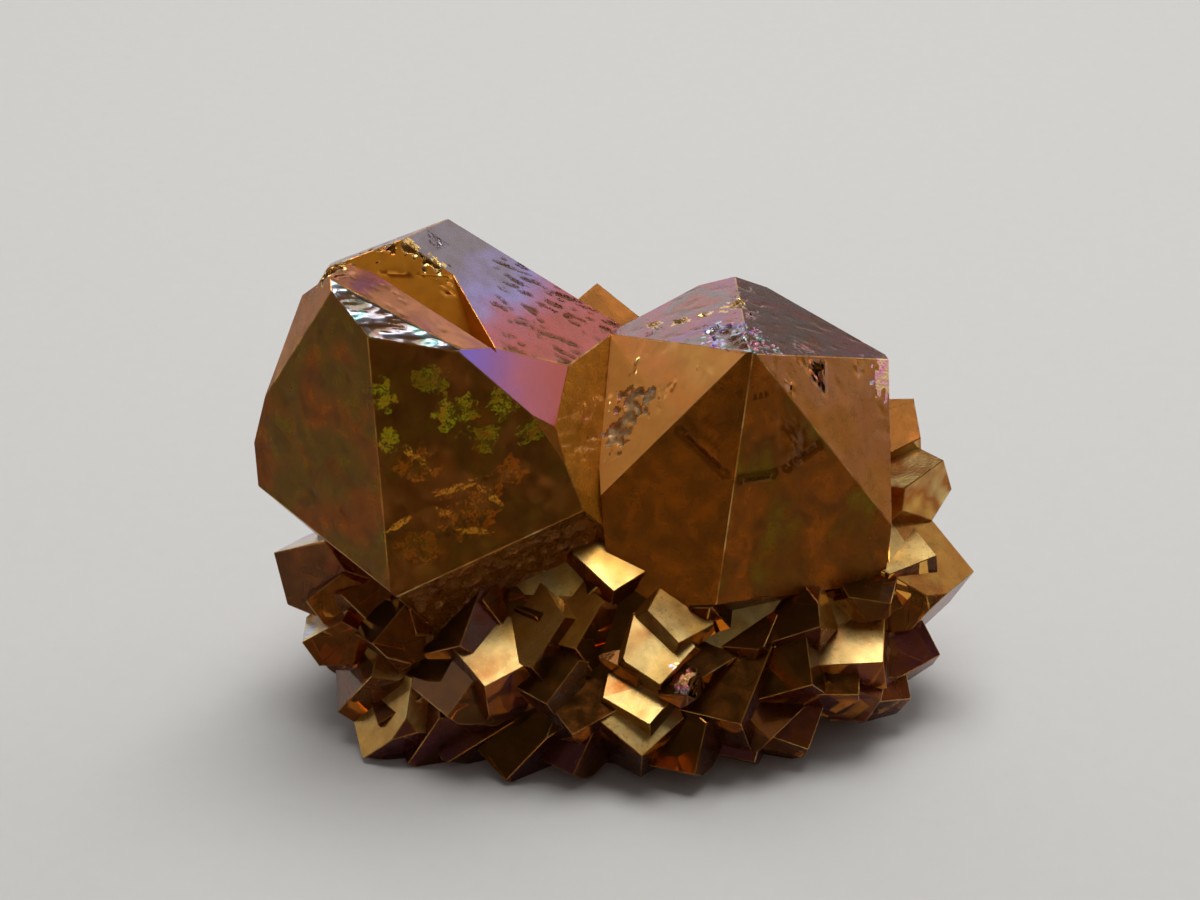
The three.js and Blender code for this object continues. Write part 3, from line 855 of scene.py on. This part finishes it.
class QUARTZ_OT_grow_cluster(bpy.types.Operator):
    """Grow the coated quartz cluster over its solid model"""

    bl_idname = "quartz.grow_cluster"
    bl_label = "Grow Cluster"

    def execute(self, context):
        body = context.scene.quartz_body
        film = context.scene.quartz_film
        piece = node_copy(NODE, "quartz_points")
        materials = {name: coated_quartz(name, look, body, film) for name, look in FINISHES.items()}
        finish_facets(piece, materials)
        wear_edges(piece, body.edge_wear)
        crease_facets(piece)
        cut_fine(piece, near_spot, SPOT_STEP)
        for finishes, step in FINE_STEPS:
            slots = {piece.data.materials.find(finish) for finish in finishes}
            cut_fine(piece, lambda face: face.material_index in slots, step)
        finish_spots(piece)
        self.carve(piece, body)
        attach(piece, BODY)
        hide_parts(NODE)
        return {"FINISHED"}

    def carve(self, piece, body):
        """Presses pits, chips and growth marks into the large facets."""
        before = [vertex.co.copy() for vertex in piece.data.vertices]
        group_inside(piece, "etched", ("violet_etched",), ETCHED_LEFT)
        group_inside(piece, "chipped", ("silver_chip",))
        group_inside(piece, "crushed", ("apex_chip", "bright_chip", "gold_ridge"))
        group_inside(piece, "ragged", ("ragged_band",))
        group_inside(piece, "tops", ("mauve_top", "rose_ledge"))
        group_inside(piece, "fronts", FRONTS + SIDES)
        guides = {group: slope_guide(*row) for group, row in STRETCHED.items()}
        for group, name, size, (low, high), layers, share, level in RELIEF:
            texture = pattern(name, size, low, high, layers)
            press(piece, group, texture, share * body.pit_depth, guides.get(group), level)
        mark_pits(piece, before)
        for guide in guides.values():
            bpy.data.objects.remove(guide)


def veil_film(name, stops, polish):
    """The bright film on an inner crack."""
    shader = Shader(name)
    spot = shader.node("ShaderNodeTexCoord", output="Object")
    place = shader.node("ShaderNodeMapping", {}, {"Vector": spot, "Scale": (PER_METRE,) * 3})
    flow = shader.noise(place, *VEIL_FLOW)
    fine = shader.noise(place, *VEIL_FINE)
    thickness = MIDDLE + VEIL_GAIN * (flow - MIDDLE)
    tint = shader.node("ShaderNodeValToRGB", {"stops": stops}, {"Fac": thickness}, "Color")
    lace = shader.step(LACE_SHARE * flow + (1.0 - LACE_SHARE) * fine, *LACE_RIM)
    roughness = polish * (VEIL_ROUGH_LEAST + VEIL_ROUGH_SPREAD * fine)
    surface = shader.node("ShaderNodeBsdfPrincipled", {}, {
        "Base Color": tint, "Metallic": 1.0, "Roughness": roughness, "Alpha": lace})
    shader.node("ShaderNodeOutputMaterial", {}, {"Surface": surface})
    return shader.material


class QUARTZ_OT_seal_veils(bpy.types.Operator):
    """Seal the bright inner cracks into the left point"""

    bl_idname = "quartz.seal_veils"
    bl_label = "Seal Veils"

    def execute(self, context):
        veil = context.scene.quartz_veils
        films = {}
        for name, (colours, polish) in VEIL_FILMS.items():
            stops = [tuple(getattr(veil, colour)) for colour in colours]
            films[name] = veil_film(name, stops, polish)
        sheets = [self.make_veil(index, films, *row) for index, row in enumerate(VEILS)]
        bpy.ops.object.select_all(action="DESELECT")
        for sheet in sheets:
            sheet.select_set(True)
        bpy.context.view_layer.objects.active = sheets[0]
        bpy.ops.object.join()
        piece = bpy.context.object
        piece.name = "inner_veils"
        piece.data.name = "inner_veils"
        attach(piece, BODY)
        return {"FINISHED"}

    def make_veil(self, index, films, finish, place, size, turn, lean):
        """One ragged, wavy sheet behind the front facet."""
        bearing, rise, reach = VEIL_FACET
        out = facing(bearing, rise)
        across = Vector((-out.y, out.x, 0.0)).normalized()
        upward = out.cross(across)
        centre = LEFT_CENTRE + MM * (across * place[0] + upward * place[1] + out * (reach - place[2]))
        axes = Matrix((across, upward, out)).transposed().to_4x4()
        tilt = Matrix.Rotation(math.radians(turn), 4, "Z") @ Matrix.Rotation(math.radians(lean), 4, "X")
        bpy.ops.object.select_all(action="DESELECT")
        bpy.ops.mesh.primitive_grid_add(x_subdivisions=VEIL_CUTS, y_subdivisions=VEIL_CUTS,
                                        size=2.0 * VEIL_HALF)
        sheet = bpy.context.object
        self.tear(sheet, index)
        stretch = Matrix.Diagonal((MM * size[0], MM * size[1], MM, 1.0))
        sheet.matrix_world = Matrix.Translation(centre) @ axes @ tilt @ stretch
        bpy.ops.object.transform_apply(location=True, rotation=True, scale=True)
        bpy.ops.object.modifier_add(type="DISPLACE")
        wave = sheet.modifiers[-1]
        wave.texture = pattern("wave", VEIL_WAVE_SIZE, 0.0, 1.0, VEIL_WAVE_LAYERS)
        wave.strength = VEIL_WAVE
        bpy.ops.object.modifier_apply(modifier=wave.name)
        bpy.ops.object.modifier_add(type="SOLIDIFY")
        sheet.modifiers[-1].thickness = VEIL_THICK
        bpy.ops.object.modifier_apply(modifier=sheet.modifiers[-1].name)
        sheet.data.materials.append(films[finish])
        bpy.ops.object.shade_smooth_by_angle(angle=VEIL_SMOOTH)
        return sheet

    def tear(self, sheet, index):
        """Tears the rim of a square sheet into a ragged oval."""
        edit(sheet)
        bpy.ops.mesh.select_mode(type="FACE")
        mesh = bmesh.from_edit_mesh(sheet.data)
        away = Vector((0.0, 0.0, VEIL_APART * index))
        for face in mesh.faces:
            middle = face.calc_center_median()
            rag = noise.fractal(VEIL_RAGS * middle + away, *VEIL_OCTAVES)
            face.select_set(middle.length / VEIL_HALF + VEIL_RAGGED * rag > VEIL_RIM)
        bpy.ops.mesh.delete(type="FACE")
        leave()


class QUARTZ_OT_set_stage(bpy.types.Operator):
    """Lay the floor and set the lights and the camera"""

    bl_idname = "quartz.set_stage"
    bl_label = "Set Stage"

    def execute(self, context):
        stage = context.scene.quartz_stage
        self.lay_floor(stage)
        for name, place, size in LIGHTS:
            self.light_softbox(name + "_light", place, size, getattr(stage, name + "_power"))
        self.fill_surroundings(context.scene, stage)
        self.place_camera(context.scene, stage)
        return {"FINISHED"}

    def lay_floor(self, stage):
        bpy.ops.object.select_all(action="DESELECT")
        bpy.ops.mesh.primitive_plane_add(size=stage.floor_size, location=(0.0, 0.0, 0.0))
        floor = bpy.context.object
        floor.name = "floor"
        shader = Shader("pale_floor")
        spot = shader.node("ShaderNodeTexCoord", output="Object")
        speck = shader.noise(spot, *FLOOR_SPECKS)
        stops = [tuple(shade * part for part in stage.floor_colour) for shade in FLOOR_SHADES]
        tint = shader.node("ShaderNodeValToRGB", {"stops": stops}, {"Fac": speck}, "Color")
        surface = shader.node("ShaderNodeBsdfPrincipled", {}, {"Base Color": tint, "Roughness": FLOOR_ROUGH})
        shader.node("ShaderNodeOutputMaterial", {}, {"Surface": surface})
        floor.data.materials.append(shader.material)

    def light_softbox(self, name, place, size, power):
        light = bpy.data.lights.new(name, "AREA")
        light.shape = "SQUARE"
        light.size = size
        light.energy = power
        box = bpy.data.objects.new(name, light)
        bpy.context.scene.collection.objects.link(box)
        box.location = place
        box.visible_camera = False
        aim = LIGHT_AIM - Vector(place)
        box.rotation_euler = aim.to_track_quat("-Z", "Y").to_euler()

    def fill_surroundings(self, scene, stage):
        world = bpy.data.worlds.new("surroundings")
        world.use_nodes = True
        backdrop = world.node_tree.nodes["Background"]
        backdrop.inputs["Color"].default_value = SKY_COLOUR
        backdrop.inputs["Strength"].default_value = stage.sky
        scene.world = world

    def place_camera(self, scene, stage):
        scene.view_settings.view_transform = "Standard"
        camera = bpy.data.cameras.new("camera")
        camera.lens = stage.camera_lens
        camera.sensor_width = SENSOR_WIDTH
        camera.clip_start = NEAREST
        eye = bpy.data.objects.new("camera", camera)
        scene.collection.objects.link(eye)
        away = facing(0.0, math.degrees(stage.camera_elevation))
        eye.location = CAMERA_AIM + stage.camera_distance * away
        eye.rotation_euler = (CAMERA_AIM - eye.location).to_track_quat("-Z", "Y").to_euler()
        scene.camera = eye


class QUARTZ_PT_cluster(bpy.types.Panel):
    """Buttons and settings for the quartz cluster"""

    bl_idname = "QUARTZ_PT_cluster"
    bl_label = "Quartz Cluster"
    bl_space_type = "VIEW_3D"
    bl_region_type = "UI"
    bl_category = "Quartz"

    def draw(self, context):
        layout = self.layout
        scene = context.scene
        for group in (scene.quartz_body, scene.quartz_film, scene.quartz_veils, scene.quartz_stage):
            box = layout.box()
            for name in group.bl_rna.properties.keys():
                if name not in ("rna_type", "name"):
                    box.prop(group, name)
        layout.operator(QUARTZ_OT_grow_cluster.bl_idname)
        layout.operator(QUARTZ_OT_seal_veils.bl_idname)
        layout.operator(QUARTZ_OT_set_stage.bl_idname)


CLASSES = (
    QuartzBodySettings,
    QuartzFilmSettings,
    QuartzVeilSettings,
    QuartzStageSettings,
    QUARTZ_OT_grow_cluster,
    QUARTZ_OT_seal_veils,
    QUARTZ_OT_set_stage,
    QUARTZ_PT_cluster,
)


def register():
    for kind in CLASSES:
        bpy.utils.register_class(kind)
    bpy.types.Scene.quartz_body = PointerProperty(type=QuartzBodySettings)
    bpy.types.Scene.quartz_film = PointerProperty(type=QuartzFilmSettings)
    bpy.types.Scene.quartz_veils = PointerProperty(type=QuartzVeilSettings)
    bpy.types.Scene.quartz_stage = PointerProperty(type=QuartzStageSettings)


def unregister():
    del bpy.types.Scene.quartz_stage
    del bpy.types.Scene.quartz_veils
    del bpy.types.Scene.quartz_film
    del bpy.types.Scene.quartz_body
    for kind in reversed(CLASSES):
        bpy.utils.unregister_class(kind)


def main():
    register()
    bpy.ops.quartz.set_stage()
    bpy.ops.quartz.grow_cluster()
    bpy.ops.quartz.seal_veils()


if __name__ == "__main__":
    main()
